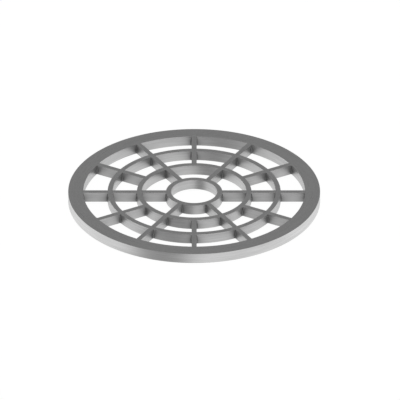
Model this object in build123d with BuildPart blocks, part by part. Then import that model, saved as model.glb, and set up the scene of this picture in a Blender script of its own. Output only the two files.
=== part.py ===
from build123d import *

import os
from math import cos, radians, sin, sqrt

# Round spoked grate that drops into the seat of a manhole frame, in welded stainless steel.
#
# A flat rim, profile-cut from plate, carries twelve radial bars on edge. Two rings of rolled flat
# bar cross the bars, and a third one, the hub ring, leaves an open eye in the middle. Six long
# spokes run from the rim to the hub ring. Six short spokes stand between them and stop at the
# inner ring.
#
# Where a ring crosses a spoke the two are half-lapped: the spoke is notched from above and keeps
# its lower half whole, and the ring is notched from below and drops over it. Where a spoke ends it
# is coped to the curved face that it butts against. A small upright fillet weld closes each corner.
# All members are equally deep, so the grate is flush above and flat below.
#
# Frame: millimetres, +Z up, origin in the middle of the grate on the plane it rests on, and the
# first long spoke along +X.

# Driving dimensions
GRATE_DIAMETER = 600.0
DEPTH = 25.0
RIM_WIDTH = 36.0
BAR_THICKNESS = 12.0
EYE_DIAMETER = 110.0
RING_PITCH = 69.5  # radial step from the hub ring to the inner ring, and on to the outer ring
SPOKE_COUNT = 12  # long and short spokes by turns
EDGE_BREAK = 0.5  # chamfer on every long arris
LAP_PLAY = 0.1  # gap on each side of a half-lap notch
WELD_LEG = 3.0
WELD_STEP_BELOW = 1.0  # the welds stay clear of the face that rests in the frame
WELD_STEP_ABOVE = 3.0  # and stop short of the walking surface

# Sizes and places worked out from them
RIM_OUTER = GRATE_DIAMETER / 2
RIM_INNER = RIM_OUTER - RIM_WIDTH
HUB_INNER = EYE_DIAMETER / 2
HUB_OUTER = HUB_INNER + BAR_THICKNESS
INNER_RING_INNER = HUB_INNER + RING_PITCH
INNER_RING_OUTER = INNER_RING_INNER + BAR_THICKNESS
OUTER_RING_INNER = INNER_RING_INNER + RING_PITCH
OUTER_RING_OUTER = OUTER_RING_INNER + BAR_THICKNESS
HALF_BAR = BAR_THICKNESS / 2
LAP_HEIGHT = DEPTH / 2  # where the two halves of a lap meet
WELD_HEIGHT = DEPTH - WELD_STEP_BELOW - WELD_STEP_ABOVE
SPOKE_STEP = 360 / SPOKE_COUNT
LONG_ANGLES = [2 * SPOKE_STEP * i for i in range(SPOKE_COUNT // 2)]
SHORT_ANGLES = [angle + SPOKE_STEP for angle in LONG_ANGLES]
ALL_ANGLES = sorted(LONG_ANGLES + SHORT_ANGLES)


def spoke_plane(angle, height=0.0):
    """A level plane whose X axis runs out along the spoke at this angle."""
    direction = (cos(radians(angle)), sin(radians(angle)), 0)
    return Plane(origin=(0, 0, height), x_dir=direction, z_dir=(0, 0, 1))


def make_ring(inner_radius, outer_radius, lapped_angles=()):
    """A ring as deep as the grate, notched from below wherever a spoke crosses it."""
    with BuildPart() as ring:
        with BuildSketch():
            Circle(outer_radius)
            Circle(inner_radius, mode=Mode.SUBTRACT)
        extrude(amount=DEPTH)
        chamfer(ring.edges().filter_by(GeomType.CIRCLE), EDGE_BREAK)
        for angle in lapped_angles:
            with BuildSketch(spoke_plane(angle)):
                with Locations(((inner_radius + outer_radius) / 2, 0)):
                    Rectangle(2 * BAR_THICKNESS, BAR_THICKNESS + 2 * LAP_PLAY)
            extrude(amount=LAP_HEIGHT, mode=Mode.SUBTRACT)
    return ring.part


def make_spoke(angle, start_radius, crossed_rings):
    """A bar from the round face at start_radius to the rim, notched from above for each ring."""
    with BuildPart() as spoke:
        with BuildSketch(spoke_plane(angle)):
            with Locations((RIM_OUTER / 2, 0)):
                Rectangle(RIM_OUTER, BAR_THICKNESS)
        extrude(amount=DEPTH)
        chamfer(spoke.edges().group_by(SortBy.LENGTH)[-1], EDGE_BREAK)
        with BuildSketch():
            Circle(start_radius)
        extrude(amount=DEPTH, mode=Mode.SUBTRACT)
        with BuildSketch():
            Circle(RIM_INNER)
        extrude(amount=DEPTH, mode=Mode.INTERSECT)
        for ring_inner, ring_outer in crossed_rings:
            with BuildSketch(Plane.XY.offset(LAP_HEIGHT)):
                Circle(ring_outer + LAP_PLAY)
                Circle(ring_inner - LAP_PLAY, mode=Mode.SUBTRACT)
            extrude(amount=DEPTH - LAP_HEIGHT, mode=Mode.SUBTRACT)
    return spoke.part


def make_welds(faces):
    """Upright fillet welds between the sides of the spokes and the round faces of a ring.

    Each face is (radius, angles of the spokes that meet it, whether it is the ring's outer face).
    """
    with BuildPart() as welds:
        for face_radius, angles, is_outer in faces:
            corner = sqrt(face_radius**2 - HALF_BAR**2)
            with BuildSketch(Plane.XY.offset(WELD_STEP_BELOW)):
                for angle in angles:
                    plane = spoke_plane(angle)
                    with Locations(
                        plane.from_local_coords((corner, HALF_BAR, 0)),
                        plane.from_local_coords((corner, -HALF_BAR, 0)),
                    ):
                        Circle(WELD_LEG)
                Circle(face_radius, mode=Mode.SUBTRACT if is_outer else Mode.INTERSECT)
                for angle in angles:
                    with Locations(Location((0, 0, 0), (0, 0, angle))):
                        Rectangle(GRATE_DIAMETER, BAR_THICKNESS, mode=Mode.SUBTRACT)
            extrude(amount=WELD_HEIGHT)
    return welds.part


def save(part, label):
    """Label a finished piece and write it as one STEP file."""
    part.label = label
    export_step(part, f"parts/{label}.step")


os.makedirs("parts", exist_ok=True)

# Rim and rings
save(make_ring(RIM_INNER, RIM_OUTER), "rim")
save(make_ring(OUTER_RING_INNER, OUTER_RING_OUTER, ALL_ANGLES), "outer_ring")
save(make_ring(INNER_RING_INNER, INNER_RING_OUTER, LONG_ANGLES), "inner_ring")
save(make_ring(HUB_INNER, HUB_OUTER), "hub_ring")

# Spokes
outer_lap = (OUTER_RING_INNER, OUTER_RING_OUTER)
inner_lap = (INNER_RING_INNER, INNER_RING_OUTER)
for number, angle in enumerate(LONG_ANGLES, start=1):
    save(make_spoke(angle, HUB_OUTER, [inner_lap, outer_lap]), f"long_spoke_{number}")
for number, angle in enumerate(SHORT_ANGLES, start=1):
    save(make_spoke(angle, INNER_RING_OUTER, [outer_lap]), f"short_spoke_{number}")

# Welds, one node for each ring
save(make_welds([(RIM_INNER, ALL_ANGLES, False)]), "rim_welds")
save(
    make_welds([(OUTER_RING_OUTER, ALL_ANGLES, True), (OUTER_RING_INNER, ALL_ANGLES, False)]),
    "outer_ring_welds",
)
save(
    make_welds([(INNER_RING_OUTER, ALL_ANGLES, True), (INNER_RING_INNER, LONG_ANGLES, False)]),
    "inner_ring_welds",
)
save(make_welds([(HUB_OUTER, LONG_ANGLES, True)]), "hub_welds")
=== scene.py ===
"""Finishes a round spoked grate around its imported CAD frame.

The grate is a welded assembly in brushed stainless steel: a plate rim, three rings of rolled flat bar
and twelve radial bars, half-lapped where they cross. Lengths are in metres, +Z is up, and the middle of
the face that the grate rests on is the origin. Every size comes from the frame or follows from it.
"""

import logging
import math
import random
from collections.abc import Callable, Iterable
from dataclasses import dataclass
from enum import Enum

import bmesh
import bpy
from mathutils import Matrix, Vector


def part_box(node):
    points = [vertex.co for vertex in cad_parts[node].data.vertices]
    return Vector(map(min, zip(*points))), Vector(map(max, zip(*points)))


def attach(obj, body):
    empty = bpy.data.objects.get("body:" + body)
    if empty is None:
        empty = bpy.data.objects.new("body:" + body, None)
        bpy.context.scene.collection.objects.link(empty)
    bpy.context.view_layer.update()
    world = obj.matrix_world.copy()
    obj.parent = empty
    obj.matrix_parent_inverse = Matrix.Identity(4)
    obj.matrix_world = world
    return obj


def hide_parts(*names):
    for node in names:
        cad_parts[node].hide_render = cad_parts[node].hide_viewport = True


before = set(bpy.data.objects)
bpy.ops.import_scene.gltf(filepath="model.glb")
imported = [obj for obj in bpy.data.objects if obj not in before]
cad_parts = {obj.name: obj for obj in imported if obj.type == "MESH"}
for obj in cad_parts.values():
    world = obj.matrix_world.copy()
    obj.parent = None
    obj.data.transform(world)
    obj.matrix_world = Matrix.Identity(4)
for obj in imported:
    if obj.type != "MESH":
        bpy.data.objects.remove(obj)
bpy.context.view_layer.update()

LOG = logging.getLogger("grate")
MM = 0.001
SPOKE_COUNT = 12
SPOKE_STEP = 2 * math.pi / SPOKE_COUNT
ALL_SPOKES = tuple(range(SPOKE_COUNT))
LONG_SPOKES = ALL_SPOKES[::2]
SHORT_SPOKES = ALL_SPOKES[1::2]
BAR_PLACE = "bar_place"
ARRIS = "arris"
ARRIS_SEGMENTS = 3
MERGE_GAP = 0.001 * MM


class Slot(Enum):
    """The record's material slots."""

    PLATE = "plate"
    FLAT_BAR = "flat_bar"
    WELD_METAL = "weld_metal"


class Grain(Enum):
    """Which way the brushing runs on a piece."""

    AROUND = "around the grate's axis"
    ALONG = "along the bar"


class Cut(Enum):
    """What a cutter does to a piece."""

    AWAY = "DIFFERENCE"
    KEEP = "INTERSECT"


@dataclass(frozen=True)
class GrateSizes:
    """The radii, bar thickness and depth that every piece is made to."""

    rim_outer: float
    rim_inner: float
    outer_ring: float
    inner_ring: float
    hub_ring: float
    bar: float
    depth: float
    lap_play: float = 0.1 * MM
    arris: float = 0.4 * MM

    @classmethod
    def from_frame(cls) -> "GrateSizes":
        """Read the sizes off the CAD nodes' boxes.

        Returns:
            The sizes, where each ring is named by its outer radius.
        """
        spoke_low, spoke_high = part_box("long_spoke_1")
        rim_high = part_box("rim")[1]
        return cls(
            rim_outer=rim_high.x,
            rim_inner=spoke_high.x,
            outer_ring=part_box("outer_ring")[1].x,
            inner_ring=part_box("inner_ring")[1].x,
            hub_ring=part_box("hub_ring")[1].x,
            bar=spoke_high.y - spoke_low.y,
            depth=rim_high.z,
        )

    @property
    def lap_height(self) -> float:
        """Where the two halves of a lap meet."""
        return self.depth / 2

    @property
    def ring_pitch(self) -> float:
        """The radial step from one ring to the next."""
        return self.outer_ring - self.inner_ring


class Bench:
    """The moves that every piece is made with."""

    @staticmethod
    def clear() -> None:
        """Deselect every object."""
        for item in bpy.context.selected_objects:
            item.select_set(False)

    @staticmethod
    def take(piece: bpy.types.Object) -> None:
        """Select one object alone and make it active.

        Args:
            piece: The object.
        """
        Bench.clear()
        piece.select_set(True)
        bpy.context.view_layer.objects.active = piece

    @staticmethod
    def fix_place(piece: bpy.types.Object) -> None:
        """Move an object's place, turn and scale into its mesh."""
        Bench.take(piece)
        bpy.ops.object.transform_apply(location=True, rotation=True, scale=True)

    @staticmethod
    def pick_edges(piece: bpy.types.Object, test: Callable[[Vector, Vector], bool]) -> None:
        """Select edges in edit mode.

        Args:
            piece: The object, in edit mode.
            test: Says whether the edge between two points is wanted.
        """
        shape = bmesh.from_edit_mesh(piece.data)
        bpy.ops.mesh.select_all(action="DESELECT")
        for edge in shape.edges:
            if test(edge.verts[0].co, edge.verts[1].co):
                edge.select_set(True)
        bmesh.update_edit_mesh(piece.data)

    @staticmethod
    def apply(piece: bpy.types.Object, kind: str, **settings: object) -> None:
        """Add a modifier with its settings and apply it.

        Args:
            piece: The object to change.
            kind: The modifier's type.
            **settings: The modifier's properties.
        """
        Bench.take(piece)
        modifier = piece.modifiers.new(kind.lower(), kind)
        for name, value in settings.items():
            setattr(modifier, name, value)
        bpy.ops.object.modifier_apply(modifier=modifier.name)

    @staticmethod
    def cut(piece: bpy.types.Object, cutter: bpy.types.Object, how: Cut) -> None:
        """Cut a piece with another solid, which is used up."""
        Bench.apply(piece, "BOOLEAN", operation=how.value, solver="EXACT", object=cutter)
        bpy.data.objects.remove(cutter)

    @staticmethod
    def join(pieces: list[bpy.types.Object], name: str) -> bpy.types.Object:
        """Join solids into one object.

        Args:
            pieces: The solids, the first of which takes the rest in.
            name: The name of the result.

        Returns:
            The joined object.
        """
        Bench.take(pieces[0])
        for piece in pieces[1:]:
            piece.select_set(True)
        bpy.ops.object.join()
        pieces[0].name = pieces[0].data.name = name
        return pieces[0]

    @staticmethod
    def copy(piece: bpy.types.Object, name: str, place: Matrix) -> bpy.types.Object:
        """Copy a piece with its own mesh.

        Args:
            piece: The piece to copy.
            name: The copy's name.
            place: The move and turn that goes into the copy's mesh.

        Returns:
            The copy.
        """
        twin = piece.copy()
        twin.data = piece.data.copy()
        twin.name = twin.data.name = name
        twin.data.transform(place)
        bpy.context.scene.collection.objects.link(twin)
        return twin

    @staticmethod
    def smooth(piece: bpy.types.Object, angle: float = math.radians(40)) -> None:
        """Shade the rounded edges smooth and keep the flat faces flat.

        Args:
            piece: The object.
            angle: The sharpest bend that is still shaded smooth.
        """
        Bench.take(piece)
        bpy.ops.object.shade_smooth_by_angle(angle=angle)
        Bench.apply(piece, "WEIGHTED_NORMAL", mode="FACE_AREA", weight=100, keep_sharp=True)

    @staticmethod
    def drum(radius: float, depth: float, sides: int = 720) -> bpy.types.Object:
        """Make a cylinder on the grate's axis that passes right through it, to cut with.

        Args:
            radius: Its radius.
            depth: The grate's depth.
            sides: How many sides it has.

        Returns:
            The cutter.
        """
        length = 3 * depth
        Bench.clear()
        bpy.ops.mesh.primitive_cylinder_add(
            vertices=sides, radius=radius, depth=length, location=(0, 0, depth / 2)
        )
        return bpy.context.object


@dataclass(frozen=True)
class TurnedRing:
    """A ring of rectangular section with rounded arrises, turned about the grate's axis."""

    inner: float
    outer: float
    depth: float
    arris: float
    steps: int = 360

    def model(self, name: str) -> bpy.types.Object:
        """Spin the section round the axis.

        Args:
            name: The piece's name.

        Returns:
            The ring.
        """
        Bench.clear()
        bpy.ops.mesh.primitive_plane_add(
            size=1,
            location=((self.inner + self.outer) / 2, 0, self.depth / 2),
            rotation=(math.pi / 2, 0, 0),
        )
        ring = bpy.context.object
        ring.name = ring.data.name = name
        ring.scale = (self.outer - self.inner, self.depth, 1)
        Bench.fix_place(ring)
        bpy.ops.object.mode_set(mode="EDIT")
        bpy.ops.mesh.select_all(action="SELECT")
        bpy.ops.mesh.bevel(offset=self.arris, segments=ARRIS_SEGMENTS, affect="VERTICES")
        bpy.ops.mesh.select_all(action="SELECT")
        bpy.ops.mesh.delete(type="ONLY_FACE")
        bpy.ops.mesh.select_all(action="SELECT")
        bpy.ops.mesh.spin(steps=self.steps, angle=2 * math.pi, center=(0, 0, 0), axis=(0, 0, 1))
        bpy.ops.mesh.select_all(action="SELECT")
        bpy.ops.mesh.remove_doubles(threshold=MERGE_GAP)
        bpy.ops.mesh.normals_make_consistent(inside=False)
        bpy.ops.object.mode_set(mode="OBJECT")
        return ring

    def wear(self, ring: bpy.types.Object) -> None:
        """Mark the rounded arrises, where handling polishes the metal."""
        rounded = Rounding(self.arris, (self.inner, self.outer), (0, self.depth))
        rounded.mark(ring, lambda point: math.hypot(point.x, point.y))


@dataclass(frozen=True)
class Rounding:
    """Finds the points of a mesh that lie inside a rounded arris, and not on its borders."""

    radius: float
    sides: tuple[float, float]
    faces: tuple[float, float]
    reach: float = 0.98

    def mark(self, piece: bpy.types.Object, across: Callable[[Vector], float]) -> None:
        """Write an attribute that is 1 inside the rounding and 0 elsewhere.

        Args:
            piece: The piece to mark.
            across: Gives a point's place across the section.
        """
        inside = self.reach * self.radius
        marks = []
        for vertex in piece.data.vertices:
            place = across(vertex.co)
            side_gap = min(abs(place - side) for side in self.sides)
            face_gap = min(abs(vertex.co.z - face) for face in self.faces)
            marks.append(float(0 < side_gap < inside and 0 < face_gap < inside))
        attribute = piece.data.attributes.new(ARRIS, "FLOAT", "POINT")
        attribute.data.foreach_set("value", marks)


class Wire:
    """A number in a shader, on which Python's operators add Math nodes."""

    def __init__(self, nodes: "Nodes", socket: bpy.types.NodeSocket) -> None:
        """Wrap a socket of the given node tree."""
        self.nodes = nodes
        self.socket = socket

    def math(self, operation: str, *values: "Wire | float") -> "Wire":
        """Add a Math node.

        Args:
            operation: The Math node's operation.
            *values: Its inputs in order.

        Returns:
            The node's result.
        """
        inputs = dict(enumerate(values))
        return self.nodes.number("ShaderNodeMath", {"operation": operation}, inputs)

    def __add__(self, other: "Wire | float") -> "Wire":
        """This plus other."""
        return self.math("ADD", self, other)

    def __radd__(self, other: float) -> "Wire":
        """Other plus this."""
        return self.math("ADD", other, self)

    def __sub__(self, other: "Wire | float") -> "Wire":
        """This less other."""
        return self.math("SUBTRACT", self, other)

    def __rsub__(self, other: float) -> "Wire":
        """Other less this."""
        return self.math("SUBTRACT", other, self)

    def __mul__(self, other: "Wire | float") -> "Wire":
        """This times other."""
        return self.math("MULTIPLY", self, other)

    def __rmul__(self, other: float) -> "Wire":
        """Other times this."""
        return self.math("MULTIPLY", other, self)

    def __truediv__(self, other: "Wire | float") -> "Wire":
        """This over other."""
        return self.math("DIVIDE", self, other)

    def __pow__(self, power: float) -> "Wire":
        """This to a power."""
        return self.math("POWER", self, power)

    def above(self, limit: float) -> "Wire":
        """1 where this is more than the limit, else 0."""
        return self.math("GREATER_THAN", self, limit)

    def from_nearest(self, step: float) -> "Wire":
        """How far this is from the nearest multiple of a step."""
        return self.math("PINGPONG", self, step / 2)

    def eased(self, start: float, end: float) -> "Wire":
        """Rise smoothly from 0 to 1.

        Args:
            start: Where this still gives 0.
            end: Where it first gives 1, above start or below it.

        Returns:
            The eased number, which stays between 0 and 1.
        """
        settings = {"interpolation_type": "SMOOTHSTEP", "clamp": True}
        low, high = sorted((start, end))
        inputs = {"Value": self, "From Min": low, "From Max": high}
        risen = self.nodes.number("ShaderNodeMapRange", settings, inputs)
        return risen if start < end else 1 - risen


class Nodes:
    """Adds nodes to one node tree."""

    MIX_FACTOR, MIX_A, MIX_B, MIX_COLOUR = 0, 6, 7, 2

    def __init__(self, tree: bpy.types.NodeTree) -> None:
        """Start with an empty tree."""
        self.tree = tree
        tree.nodes.clear()

    def add(self, kind: str, settings: dict | None = None, inputs: dict | None = None) -> bpy.types.Node:
        """Add a node.

        Args:
            kind: The node's type.
            settings: Its properties, set before its sockets. "stops" are a ramp's positions and greys.
            inputs: A value or a link for each socket, by name or index.

        Returns:
            The node.
        """
        node = self.tree.nodes.new(kind)
        for name, value in (settings or {}).items():
            if name == "stops":
                self.set_stops(node.color_ramp, value)
            else:
                setattr(node, name, value)
        for key, value in (inputs or {}).items():
            source = value.socket if isinstance(value, Wire) else value
            if isinstance(source, bpy.types.NodeSocket):
                self.tree.links.new(source, node.inputs[key])
            else:
                node.inputs[key].default_value = source
        return node

    def number(self, kind: str, settings: dict | None = None, inputs: dict | None = None) -> Wire:
        """Add a node and wrap its first output."""
        return Wire(self, self.add(kind, settings, inputs).outputs[0])

    @staticmethod
    def set_stops(ramp: bpy.types.ColorRamp, stops: Iterable[tuple[float, float]]) -> None:
        """Give a ramp its grey stops.

        Args:
            ramp: The ramp.
            stops: Each stop's position and grey, in order of position.
        """
        ramp.interpolation = "EASE"
        while len(ramp.elements) > 1:
            ramp.elements.remove(ramp.elements[-1])
        for number, (position, grey) in enumerate(stops):
            stop = ramp.elements.new(position) if number else ramp.elements[0]
            stop.position = position
            stop.color = (grey, grey, grey, 1)

    def split(self, vector: bpy.types.NodeSocket) -> tuple[Wire, Wire, Wire]:
        """The three parts of a vector."""
        node = self.add("ShaderNodeSeparateXYZ", inputs={"Vector": vector})
        return tuple(Wire(self, output) for output in node.outputs)

    def vector(self, x: Wire | float, y: Wire | float, z: Wire | float) -> bpy.types.NodeSocket:
        """A vector from its three parts."""
        return self.add("ShaderNodeCombineXYZ", inputs={"X": x, "Y": y, "Z": z}).outputs[0]

    def noise(self, vector: bpy.types.NodeSocket, scale: float, detail: float = 2.0) -> Wire:
        """Soft noise between 0 and 1, around a half."""
        return self.number(
            "ShaderNodeTexNoise", inputs={"Vector": vector, "Scale": scale, "Detail": detail}
        )

    def blend(self, factor: Wire, low: "Colour", high: "Colour") -> bpy.types.NodeSocket:
        """A colour between two, each a colour or a link."""
        inputs = {self.MIX_FACTOR: factor, self.MIX_A: low, self.MIX_B: high}
        return self.add("ShaderNodeMix", {"data_type": "RGBA"}, inputs).outputs[self.MIX_COLOUR]


Colour = tuple[float, float, float, float] | bpy.types.NodeSocket


def grey(level: float) -> tuple[float, float, float, float]:
    """A neutral colour."""
    return (level, level, level, 1.0)


@dataclass(frozen=True)
class Lay:
    """Where a point lies on a piece: in space, with the grain and across it, in the painted wall shade,
    and in the painted corner shade near a weld.
    """

    place: bpy.types.NodeSocket
    along: tuple[Wire | float, Wire | float]
    across: Wire
    height: Wire
    heat: Wire | float
    unground: Wire | float


@dataclass(frozen=True)
class BrushedSteel:
    """Brushed stainless steel, rougher on the walls between the bars and painted darker there, as
    painted shade in those recesses.

    Beside the welds it is painted darker still: painted corner shade, which also stands for weld heat
    tint. Handling has polished its arrises.
    """

    name: str
    sizes: GrateSizes
    grain: Grain
    inner_welds: int = 0
    outer_welds: int = 0
    middle_radius: float = 0.0
    outer_wall_ground: bool = False
    dark: float = 0.52
    light: float = 0.68
    # How much darker the walls between the bars are painted, as painted shade in those recesses.
    skin: float = 0.87
    polished: float = 0.70
    # The grey painted beside the welds: painted corner shade, which also stands for weld heat tint.
    scorched: float = 0.22
    roughness: float = 0.30
    medium_roughness: float = 0.10
    fine_roughness: float = 0.08
    skin_roughness: float = 0.08
    heat_roughness: float = 0.12
    worn_polish: float = 0.08
    streak_length: float = 70 * MM
    streak_pitches: tuple[float, float, float] = (4.0 * MM, 1.6 * MM, 0.45 * MM)
    streak_weights: tuple[float, float, float] = (0.45, 0.35, 0.20)
    contrast: tuple[float, float] = (0.25, 0.75)
    face_streaks: float = 0.35
    face_speckle: float = 0.55
    speckle_pitch: float = 2.4 * MM
    groove_depth: float = 0.02 * MM
    groove_strength: float = 0.25
    fine_grooves: float = 0.60
    # The next three set how the painted corner shade fades away from the welds and up the walls.
    heat_fade: float = 9.5 * MM
    top_heat: float = 0.20
    hot_part: float = 0.25
    wall_edge: float = 3.0

    def make(self) -> bpy.types.Material:
        """Build the material.

        Returns:
            The material, ready to assign.
        """
        material = bpy.data.materials.new(self.name)
        material.use_nodes = True
        nodes = Nodes(material.node_tree)
        lay = self.lay_around(nodes) if self.grain is Grain.AROUND else self.lay_along(nodes)
        wall = self.wall(lay.height)
        # Painted shade on the walls between the bars, which are also rougher.
        skinned = wall * lay.unground
        # Painted corner shade beside the welds, which also stands for weld heat tint and dulls the
        # roughness there.
        heat = lay.heat * wall * self.cleaned(lay.height)
        streaks = tuple(self.streaks(nodes, lay, pitch) for pitch in self.streak_pitches)
        _, medium, fine = streaks
        worn = nodes.add("ShaderNodeAttribute", {"attribute_name": ARRIS}).outputs["Fac"]
        worn = Wire(nodes, worn) * (0.5 + 0.5 * medium)
        tone = self.tone(nodes, lay, wall, streaks)
        marked = self.medium_roughness * (medium - 0.5) + self.fine_roughness * (fine - 0.5)
        dulled = self.skin_roughness * skinned + self.heat_roughness * heat
        grooves = {
            "Strength": self.groove_strength,
            "Distance": self.groove_depth,
            "Height": self.fine_grooves * fine + (1 - self.fine_grooves) * medium,
        }
        steel = nodes.add(
            "ShaderNodeBsdfPrincipled",
            inputs={
                "Base Color": self.colour(nodes, tone, skinned, heat, worn),
                "Metallic": 1.0,
                "Roughness": self.roughness + marked + dulled - self.worn_polish * worn,
                "Normal": nodes.add("ShaderNodeBump", inputs=grooves).outputs["Normal"],
            },
        )
        nodes.add("ShaderNodeOutputMaterial", inputs={"Surface": steel.outputs[0]})
        return material

    def lay_around(self, nodes: Nodes) -> Lay:
        """Read a ring's lay, whose grain runs round the grate's axis.

        Args:
            nodes: The node tree.

        Returns:
            The lay, in which the outer wall is left out of the painted wall shade if the piece says so.
        """
        place = nodes.add("ShaderNodeTexCoord").outputs["Object"]
        x, y, z = nodes.split(place)
        radius = (x * x + y * y) ** 0.5
        unground = 1 - radius.above(self.middle_radius) if self.outer_wall_ground else 1.0
        return Lay(place, (x, y), radius + z, z, self.heat_around(x, y, radius), unground)

    def lay_along(self, nodes: Nodes) -> Lay:
        """Read a spoke's lay, whose grain runs along the bar.

        Args:
            nodes: The node tree.

        Returns:
            The lay, from where each point was before the bar was turned into its place.
        """
        place = nodes.add("ShaderNodeAttribute", {"attribute_name": BAR_PLACE}).outputs["Vector"]
        x, y, z = nodes.split(place)
        return Lay(place, (x, 0.0), y + z, z, self.heat_along(x), 1.0)

    def streaks(self, nodes: Nodes, lay: Lay, pitch: float) -> Wire:
        """Brush marks: noise drawn out along the grain.

        Args:
            nodes: The node tree.
            lay: Where the point lies.
            pitch: About how far apart the marks are.

        Returns:
            Noise around a half.
        """
        first, second = (part / self.streak_length if part else 0.0 for part in lay.along)
        return nodes.noise(nodes.vector(first, second, lay.across / pitch), 1.0)

    def tone(self, nodes: Nodes, lay: Lay, wall: Wire, streaks: tuple[Wire, ...]) -> Wire:
        """Mix the marks into one tone: streaks on the walls, streaks and speckle on the faces.

        Args:
            nodes: The node tree.
            lay: Where the point lies.
            wall: 1 on the walls.
            streaks: The brush marks, one for each pitch.

        Returns:
            A number from 0, dark, to 1, light.
        """
        coarse, medium, fine = (weight * part for weight, part in zip(self.streak_weights, streaks))
        streaked = (coarse + medium + fine).eased(*self.contrast)
        speckled = nodes.noise(lay.place, 1 / self.speckle_pitch).eased(*self.contrast)
        faced = 0.5 + self.face_streaks * (streaked - 0.5) + self.face_speckle * (speckled - 0.5)
        return faced + wall * (streaked - faced)

    def colour(
        self, nodes: Nodes, tone: Wire, skinned: Wire, heat: Wire, worn: Wire
    ) -> bpy.types.NodeSocket:
        """Colour the steel by its finish, with painted shade on the walls between the bars and beside
        the welds.

        Args:
            nodes: The node tree.
            tone: The brush marks' tone.
            skinned: 1 on the rougher walls that are painted darker, as shade in the recesses.
            heat: How much painted corner shade it gets, which also stands for weld heat tint.
            worn: How much handling has polished it.

        Returns:
            The colour.
        """
        ground = nodes.blend(tone, grey(self.dark), grey(self.light))
        # The darker wall colour is painted shade in the recesses between the bars.
        skin = nodes.blend(tone, grey(self.skin * self.dark), grey(self.skin * self.light))
        colour = nodes.blend(skinned, ground, skin)
        # Painted corner shade beside the welds, also standing for weld heat tint.
        colour = nodes.blend(heat, colour, grey(self.scorched))
        return nodes.blend(worn, colour, grey(self.polished))

    def heat_around(self, x: Wire, y: Wire, radius: Wire) -> Wire | float:
        """How much painted corner shade a ring gets, standing also for weld heat tint, by the distance
        from the nearest bar's side.

        Args:
            x: The point's place along X.
            y: Its place along Y.
            radius: Its distance from the grate's axis.

        Returns:
            1 at a weld, falling off to 0.
        """
        angle = x.math("ARCTAN2", y, x)
        outside = radius.above(self.middle_radius)
        heat = 0.0
        if self.inner_welds:
            heat = self.fade(self.bar_gap(angle, radius, self.inner_welds)) * (1 - outside)
        if self.outer_welds:
            heat = self.fade(self.bar_gap(angle, radius, self.outer_welds)) * outside + heat
        return heat

    def bar_gap(self, angle: Wire, radius: Wire, bars: int) -> Wire:
        """How far round a ring the side of the nearest of its evenly spaced bars is."""
        return radius * angle.from_nearest(2 * math.pi / bars) - self.sizes.bar / 2

    def heat_along(self, x: Wire) -> Wire:
        """How much painted corner shade a bar gets, standing also for weld heat tint, by the distance
        from the nearest ring's wall.

        Args:
            x: How far out along the bar the point is, from the grate's axis.

        Returns:
            1 at a weld, falling off to 0.
        """
        middle = self.sizes.hub_ring - self.sizes.bar / 2
        gap = (x - middle).from_nearest(self.sizes.ring_pitch) - self.sizes.bar / 2
        return self.fade(gap)

    def fade(self, gap: Wire) -> Wire:
        """Falls off from 1 at a weld with the distance from it."""
        falling = gap / -self.heat_fade
        return falling.math("EXPONENT", falling)

    def cleaned(self, z: Wire) -> Wire:
        """How strong the painted corner shade is: weaker towards the top, darker towards the bottom."""
        depth = self.sizes.depth
        return self.top_heat + (1 - self.top_heat) * z.eased(depth, self.hot_part * depth)

    def wall(self, z: Wire) -> Wire:
        """1 on the upright walls, 0 on the top and bottom faces, which were ground after welding."""
        depth, edge = self.sizes.depth, self.wall_edge * self.sizes.arris
        return z.eased(0.0, edge) * z.eased(depth, depth - edge)


@dataclass(frozen=True)
class WeldMetal:
    """Dull, unpickled weld metal, coloured dark enough to also act as painted shade in the corners."""

    name: str = "weld_metal_dull"
    # Dark enough to stand also for the shade in the corners: partly the weld's own dull colour, partly
    # painted shade.
    dark: float = 0.18
    light: float = 0.28
    patch_size: float = 3 * MM
    patch_contrast: tuple[float, float] = (0.3, 0.7)
    roughness: float = 0.45
    patch_roughness: float = 0.20
    grit_size: float = 0.5 * MM
    grit_depth: float = 0.05 * MM
    grit_strength: float = 0.30
    detail: float = 3.0

    def make(self) -> bpy.types.Material:
        """Build the material.

        Returns:
            The material, ready to assign.
        """
        material = bpy.data.materials.new(self.name)
        material.use_nodes = True
        nodes = Nodes(material.node_tree)
        place = nodes.add("ShaderNodeTexCoord").outputs["Object"]
        patches = nodes.noise(place, 1 / self.patch_size, self.detail)
        grit = nodes.noise(place, 1 / self.grit_size, self.detail)
        patched = patches.eased(*self.patch_contrast)
        rough = {"Strength": self.grit_strength, "Distance": self.grit_depth, "Height": grit}
        weld = nodes.add(
            "ShaderNodeBsdfPrincipled",
            inputs={
                "Base Color": nodes.blend(patched, grey(self.dark), grey(self.light)),
                "Metallic": 1.0,
                "Roughness": self.roughness + self.patch_roughness * patches,
                "Normal": nodes.add("ShaderNodeBump", inputs=rough).outputs["Normal"],
            },
        )
        nodes.add("ShaderNodeOutputMaterial", inputs={"Surface": weld.outputs[0]})
        return material


def hand_over(
    piece: bpy.types.Object, node: str, material: bpy.types.Material
) -> bpy.types.Object:
    """Dress a finished piece and put it in its CAD node's place.

    Args:
        piece: The piece.
        node: The CAD node that it stands for.
        material: Its material.

    Returns:
        The piece.
    """
    piece.data.materials.clear()
    piece.data.materials.append(material)
    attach(piece, "root")
    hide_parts(node)
    LOG.info("%s: %d faces, in place of %s", piece.name, len(piece.data.polygons), node)
    return piece


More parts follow.
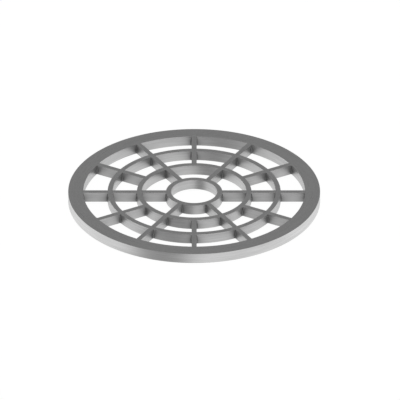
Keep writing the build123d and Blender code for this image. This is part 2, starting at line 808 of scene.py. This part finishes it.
@dataclass
class Rim:
    """The flat rim, profile-cut from plate."""

    sizes: GrateSizes

    def build(self) -> None:
        """Model and dress the rim."""
        sizes = self.sizes
        ring = TurnedRing(sizes.rim_inner, sizes.rim_outer, sizes.depth, sizes.arris)
        plate = ring.model("rim_plate")
        ring.wear(plate)
        Bench.smooth(plate)
        steel = BrushedSteel(
            "rim_plate_steel",
            sizes,
            Grain.AROUND,
            inner_welds=SPOKE_COUNT,
            middle_radius=(sizes.rim_inner + sizes.rim_outer) / 2,
            # The rim's outer wall stands in the open, so it gets no painted wall shade.
            outer_wall_ground=True,
        )
        hand_over(plate, "rim", steel.make())


@dataclass
class Rings:
    """The three rings of rolled flat bar, notched from below where they cross a spoke."""

    sizes: GrateSizes

    def build(self) -> None:
        """Model and dress the outer ring, the inner ring and the hub ring."""
        sizes, every, long_only = self.sizes, SPOKE_COUNT, len(LONG_SPOKES)
        self.make("outer_ring", sizes.outer_ring, ALL_SPOKES, every, every)
        self.make("inner_ring", sizes.inner_ring, LONG_SPOKES, long_only, every)
        self.make("hub_ring", sizes.hub_ring, (), 0, long_only)

    def make(
        self, node: str, outer: float, crossed: tuple[int, ...], inner_welds: int, outer_welds: int
    ) -> None:
        """Make one ring.

        Args:
            node: The ring's CAD node.
            outer: Its outer radius.
            crossed: The spokes that pass under it.
            inner_welds: How many spokes meet its inner wall.
            outer_welds: How many spokes meet its outer wall.
        """
        sizes = self.sizes
        ring = TurnedRing(outer - sizes.bar, outer, sizes.depth, sizes.arris)
        bar = ring.model(f"{node}_bar")
        middle = outer - sizes.bar / 2
        if crossed:
            Bench.cut(bar, self.notches(middle, crossed), Cut.AWAY)
        ring.wear(bar)
        Bench.smooth(bar)
        steel = BrushedSteel(
            f"{node}_steel",
            sizes,
            Grain.AROUND,
            inner_welds=inner_welds,
            outer_welds=outer_welds,
            middle_radius=middle,
        )
        hand_over(bar, node, steel.make())

    def notches(self, middle: float, crossed: tuple[int, ...]) -> bpy.types.Object:
        """Make the blocks that cut a ring's lower half away around each spoke.

        Args:
            middle: The radius of the ring's middle.
            crossed: The spokes that pass under it.

        Returns:
            The blocks, as one cutter.
        """
        sizes, blocks = self.sizes, []
        for spoke in crossed:
            angle = spoke * SPOKE_STEP
            Bench.clear()
            bpy.ops.mesh.primitive_cube_add(
                size=1,
                location=(middle * math.cos(angle), middle * math.sin(angle), 0),
                rotation=(0, 0, angle),
            )
            block = bpy.context.object
            block.scale = (2 * sizes.bar, sizes.bar + 2 * sizes.lap_play, 2 * sizes.lap_height)
            Bench.fix_place(block)
            blocks.append(block)
        return Bench.join(blocks, "notches")


@dataclass
class Spokes:
    """The twelve radial bars, notched from above where a ring crosses them and coped at both ends."""

    sizes: GrateSizes

    def build(self) -> None:
        """Model each kind of spoke once, then copy it round the grate and dress the copies."""
        sizes = self.sizes
        # The spoke walls are painted darker than the rings', as painted shade deeper between the bars.
        steel = BrushedSteel("spoke_steel", sizes, Grain.ALONG, skin=0.82).make()
        kinds = (
            ("long_spoke", sizes.hub_ring, (sizes.inner_ring, sizes.outer_ring), LONG_SPOKES),
            ("short_spoke", sizes.inner_ring, (sizes.outer_ring,), SHORT_SPOKES),
        )
        for kind, start, crossed, spokes in kinds:
            pattern = self.model(f"{kind}_pattern", start, crossed)
            for number, spoke in enumerate(spokes, start=1):
                turn = Matrix.Rotation(spoke * SPOKE_STEP, 4, "Z")
                bar = Bench.copy(pattern, f"{kind}_bar_{number}", turn)
                hand_over(bar, f"{kind}_{number}", steel)
            bpy.data.objects.remove(pattern)

    def model(self, name: str, start: float, crossed: tuple[float, ...]) -> bpy.types.Object:
        """Model a spoke that runs out along +X.

        Args:
            name: The pattern's name.
            start: The radius of the round face that it starts from.
            crossed: The outer radii of the rings that cross it.

        Returns:
            The spoke.
        """
        sizes = self.sizes
        spare = sizes.bar / 2
        low, high = start - spare, sizes.rim_inner + spare
        Bench.clear()
        bpy.ops.mesh.primitive_cube_add(size=1, location=((low + high) / 2, 0, sizes.depth / 2))
        bar = bpy.context.object
        bar.name = bar.data.name = name
        bar.scale = (high - low, sizes.bar, sizes.depth)
        Bench.fix_place(bar)
        bpy.ops.object.mode_set(mode="EDIT")
        Bench.pick_edges(bar, lambda one, other: abs(one.x - other.x) > spare)
        bpy.ops.mesh.bevel(offset=sizes.arris, segments=ARRIS_SEGMENTS, affect="EDGES")
        bpy.ops.object.mode_set(mode="OBJECT")
        Bench.cut(bar, Bench.drum(start, sizes.depth), Cut.AWAY)
        Bench.cut(bar, Bench.drum(sizes.rim_inner, sizes.depth), Cut.KEEP)
        for ring_outer in crossed:
            Bench.cut(bar, self.notch(ring_outer), Cut.AWAY)
        Rounding(sizes.arris, (-sizes.bar / 2, sizes.bar / 2), (0, sizes.depth)).mark(
            bar, lambda point: point.y
        )
        place = bar.data.attributes.new(BAR_PLACE, "FLOAT_VECTOR", "POINT")
        place.data.foreach_set("vector", [part for v in bar.data.vertices for part in v.co])
        Bench.smooth(bar)
        return bar

    def notch(self, ring_outer: float) -> bpy.types.Object:
        """Make the ring that cuts a spoke's upper half away where a ring crosses it.

        Args:
            ring_outer: The outer radius of the ring that crosses it.

        Returns:
            The cutter.
        """
        sizes = self.sizes
        corner = sizes.arris / 10
        inner, outer = ring_outer - sizes.bar - sizes.lap_play, ring_outer + sizes.lap_play
        cutter = TurnedRing(inner, outer, sizes.depth, corner).model("notch")
        cutter.data.transform(Matrix.Translation((0, 0, sizes.lap_height)))
        return cutter


@dataclass(frozen=True)
class WeldRun:
    """One upright bead: which spoke, which side of it, and which round face it meets."""

    spoke: int
    side: int
    face: float
    outward: bool


@dataclass
class Welds:
    """The upright fillet welds in the corners between spokes and rings."""

    sizes: GrateSizes
    leg: float = 2.9 * MM
    set_back: float = 1.0 * MM
    root: float = 0.5 * MM
    below: float = 1.0 * MM
    above: float = 3.0 * MM
    ripples: int = 7
    rows_per_ripple: int = 5
    sides: int = 24
    ripple_rise: float = 0.15
    foot_size: float = 0.70
    foot_power: int = 8
    tip_size: float = 0.35
    tip_power: int = 2
    sag: float = 0.35 * MM
    smooth_bend: float = math.radians(60)
    unevenness: float = 0.06
    seed: int = 7

    @property
    def height(self) -> float:
        """How tall a bead stands."""
        return self.sizes.depth - self.below - self.above

    @property
    def rows(self) -> int:
        """How many rows of faces a bead has from its foot to its tip."""
        return self.rows_per_ripple * self.ripples

    def build(self) -> None:
        """Model one bead, then lay copies of it ring by ring."""
        sizes = self.sizes
        inner_of_outer = sizes.outer_ring - sizes.bar
        inner_of_inner = sizes.inner_ring - sizes.bar
        seams = {
            "rim_welds": ((sizes.rim_inner, ALL_SPOKES, False),),
            "outer_ring_welds": (
                (sizes.outer_ring, ALL_SPOKES, True),
                (inner_of_outer, ALL_SPOKES, False),
            ),
            "inner_ring_welds": (
                (sizes.inner_ring, ALL_SPOKES, True),
                (inner_of_inner, LONG_SPOKES, False),
            ),
            "hub_welds": ((sizes.hub_ring, LONG_SPOKES, True),),
        }
        steel = WeldMetal().make()
        hand = random.Random(self.seed)
        bead = self.model_bead()
        for node, faces in seams.items():
            runs = [
                WeldRun(spoke, side, face, outward)
                for face, spokes, outward in faces
                for spoke in spokes
                for side in (-1, 1)
            ]
            beads = [
                Bench.copy(bead, f"{node}_bead_{number}", self.place(run, hand))
                for number, run in enumerate(runs)
            ]
            hand_over(Bench.join(beads, f"{node}_beads"), node, steel)
        bpy.data.objects.remove(bead)

    def model_bead(self) -> bpy.types.Object:
        """Model a rippled bead up the Z axis, in the corner between +X and +Y.

        Returns:
            The bead, a closed solid whose root is sunk into both bars.
        """
        face = math.hypot(self.leg + self.set_back, self.set_back)
        Bench.clear()
        bpy.ops.mesh.primitive_circle_add(
            vertices=self.sides,
            radius=face,
            fill_type="NGON",
            location=(-self.set_back, -self.set_back, self.below),
        )
        bead = bpy.context.object
        Bench.fix_place(bead)
        bpy.ops.object.mode_set(mode="EDIT")
        self.trim_section()
        self.stack_rows()
        bpy.ops.mesh.select_all(action="SELECT")
        bpy.ops.mesh.normals_make_consistent(inside=False)
        bpy.ops.object.mode_set(mode="OBJECT")
        self.bow(bead)
        Bench.smooth(bead, self.smooth_bend)
        return bead

    def trim_section(self) -> None:
        """Cut the round section back to the quarter that faces out of the corner."""
        for normal in ((1, 0, 0), (0, 1, 0)):
            bpy.ops.mesh.select_all(action="SELECT")
            bpy.ops.mesh.bisect(
                plane_co=(-self.root, -self.root, self.below),
                plane_no=normal,
                clear_inner=True,
                use_fill=False,
            )

    def stack_rows(self) -> None:
        """Draw the section up the corner row by row, each as large as the ripple is there."""
        bpy.ops.mesh.select_all(action="SELECT")
        size = 1.0
        for row in range(self.rows + 1):
            if row:
                bpy.ops.mesh.extrude_region_move(
                    TRANSFORM_OT_translate={"value": (0, 0, self.height / self.rows)}
                )
            wanted = self.row_size(row)
            level = self.below + row / self.rows * self.height
            bpy.ops.transform.resize(
                value=(wanted / size, wanted / size, 1), center_override=(0, 0, level)
            )
            size = wanted

    def row_size(self, row: int) -> float:
        """Say how large the section is at a row.

        Args:
            row: The row, counted from the bottom.

        Returns:
            Its size, as a share of the full section.
        """
        share = row / self.rows
        taper = 1 - (1 - self.tip_size) * share**self.tip_power
        foot = 1 - (1 - self.foot_size) * (1 - share) ** self.foot_power
        scallop = abs(math.sin(math.pi * row / self.rows_per_ripple))
        return taper * foot * (1 + self.ripple_rise * (scallop - 0.5))

    def bow(self, bead: bpy.types.Object) -> None:
        """Bow the ripples, so that each lies like a coin on the one below it.

        Args:
            bead: The bead, up the Z axis.
        """
        for vertex in bead.data.vertices:
            point = vertex.co
            if min(point.x, point.y) > 0 and self.below < point.z < self.below + self.height:
                middle = min(point.x, point.y) / max(point.x, point.y)
                point.z -= self.sag * middle

    def place(self, run: WeldRun, hand: random.Random) -> Matrix:
        """Where a bead stands.

        Args:
            run: The corner that it fills.
            hand: The source of the small unevenness of hand work.

        Returns:
            The turn and move from the Z axis into the corner.
        """
        half = self.sizes.bar / 2
        corner = Vector((math.sqrt(run.face**2 - half**2), run.side * half, 0))
        along_spoke = Vector((1 if run.outward else -1, 0, 0))
        along_ring = Vector((-half, run.side * corner.x, 0)).normalized()
        middle = along_spoke + along_ring
        turn = math.atan2(middle.y, middle.x) - math.pi / 4
        size = 1 + hand.uniform(-self.unevenness, self.unevenness)
        return (
            Matrix.Rotation(run.spoke * SPOKE_STEP, 4, "Z")
            @ Matrix.Translation(corner)
            @ Matrix.Rotation(turn, 4, "Z")
            @ Matrix.Diagonal((size, size, 1, 1))
        )


@dataclass
class Studio:
    """A pale floor, soft light and the camera."""

    sizes: GrateSizes
    elevation: float = math.radians(29.76)
    view_widths: float = 1.5875
    aim_right: float = 0.0232
    aim_up: float = -0.0338
    floor_size: float = 40.0
    floor_glow: float = 0.96
    floor_tone: float = 0.14
    flag_bearing: float = math.radians(-120)
    flag_half_width: float = math.radians(34)
    flag_depth: float = 0.60
    room_level: float = 0.290
    ceiling_lift: float = 1.4
    sweep_top: float = 0.40
    room_part: tuple[float, float] = (0.60, 0.80)
    sweep_edge: tuple[float, float] = (0.15, -0.10)
    side_lift: float = 0.11
    side_edge: tuple[float, float] = (-0.3, 0.4)
    back_dip: float = 0.22
    back_edge: tuple[float, float] = (0.7, 1.0)
    camera_distance: float = 3.0

    def build(self) -> None:
        """Set up the floor, the light and the camera."""
        self.lay_floor()
        self.light()
        self.aim_camera()

    def lay_floor(self) -> None:
        """A pale floor that glows like a light table, so that only a faint shadow falls on it."""
        Bench.clear()
        bpy.ops.mesh.primitive_plane_add(size=self.floor_size)
        floor = bpy.context.object
        floor.name = "floor"
        floor.visible_glossy = False
        material = bpy.data.materials.new("pale_floor")
        material.use_nodes = True
        nodes = Nodes(material.node_tree)
        glow = nodes.add("ShaderNodeEmission", inputs={"Color": grey(1.0), "Strength": self.floor_glow})
        matt = nodes.add("ShaderNodeBsdfDiffuse", inputs={"Color": grey(self.floor_tone)})
        both = nodes.add("ShaderNodeAddShader", inputs={0: glow.outputs[0], 1: matt.outputs[0]})
        nodes.add("ShaderNodeOutputMaterial", inputs={"Surface": both.outputs[0]})
        floor.data.materials.append(material)

    def light(self) -> None:
        """A white sweep below, a dimmer room above, and a soft flag in front, to the camera's left."""
        world = bpy.data.worlds.new("studio")
        bpy.context.scene.world = world
        world.use_nodes = True
        nodes = Nodes(world.node_tree)
        x, y, z = nodes.split(nodes.add("ShaderNodeTexCoord").outputs["Generated"])
        room, (room_start, room_end) = self.room_level, self.room_part
        white = ((0.0, 1.0), (self.sweep_top, 1.0))
        dim = ((room_start, room), (room_end, room), (1.0, self.ceiling_lift * room))
        rise = nodes.number("ShaderNodeValToRGB", {"stops": white + dim}, {"Fac": 0.5 + 0.5 * z})
        level = (x * x + y * y) ** 0.5 + 0.001  # never 0, even straight overhead
        across, away = x / level, y / level
        toward_flag = across * math.cos(self.flag_bearing) + away * math.sin(self.flag_bearing)
        flag = self.flag_depth * toward_flag.eased(math.cos(self.flag_half_width), 1.0)
        sides = self.side_lift * away.eased(*self.side_edge)
        back = self.back_dip * away.eased(*self.back_edge)
        sweep = z.eased(*self.sweep_edge)
        strength = rise * (1 - sweep * flag) * (1 + sweep * (sides - back))
        seen = nodes.add("ShaderNodeLightPath").outputs["Is Camera Ray"]
        seen = Wire(nodes, seen)
        strength = strength * (1 - seen) + seen
        light = nodes.add("ShaderNodeBackground", inputs={"Color": grey(1.0), "Strength": strength})
        nodes.add("ShaderNodeOutputWorld", inputs={"Surface": light.outputs[0]})

    def aim_camera(self) -> None:
        """A parallel camera that looks along +Y and down at the grate."""
        diameter = 2 * self.sizes.rim_outer
        data = bpy.data.cameras.new("camera")
        data.type = "ORTHO"
        data.ortho_scale = self.view_widths * diameter
        camera = bpy.data.objects.new("camera", data)
        bpy.context.scene.collection.objects.link(camera)
        sine, cosine = math.sin(self.elevation), math.cos(self.elevation)
        back, up = Vector((0, -cosine, sine)), Vector((0, sine, cosine))
        aim = Vector((self.aim_right * diameter, 0, self.sizes.depth)) + up * self.aim_up * diameter
        camera.location = aim + back * self.camera_distance * diameter
        camera.rotation_euler = (math.pi / 2 - self.elevation, 0, 0)
        bpy.context.scene.camera = camera


def main() -> None:
    """Build every piece and the studio around them."""
    logging.basicConfig(level=logging.INFO, format="%(name)s: %(message)s")
    sizes = GrateSizes.from_frame()
    LOG.info("sizes: %s", sizes)
    for part in (Rim, Rings, Spokes, Welds, Studio):
        part(sizes).build()
    scene = bpy.context.scene
    scene.view_settings.view_transform = "Standard"


if __name__ == "__main__":
    main()
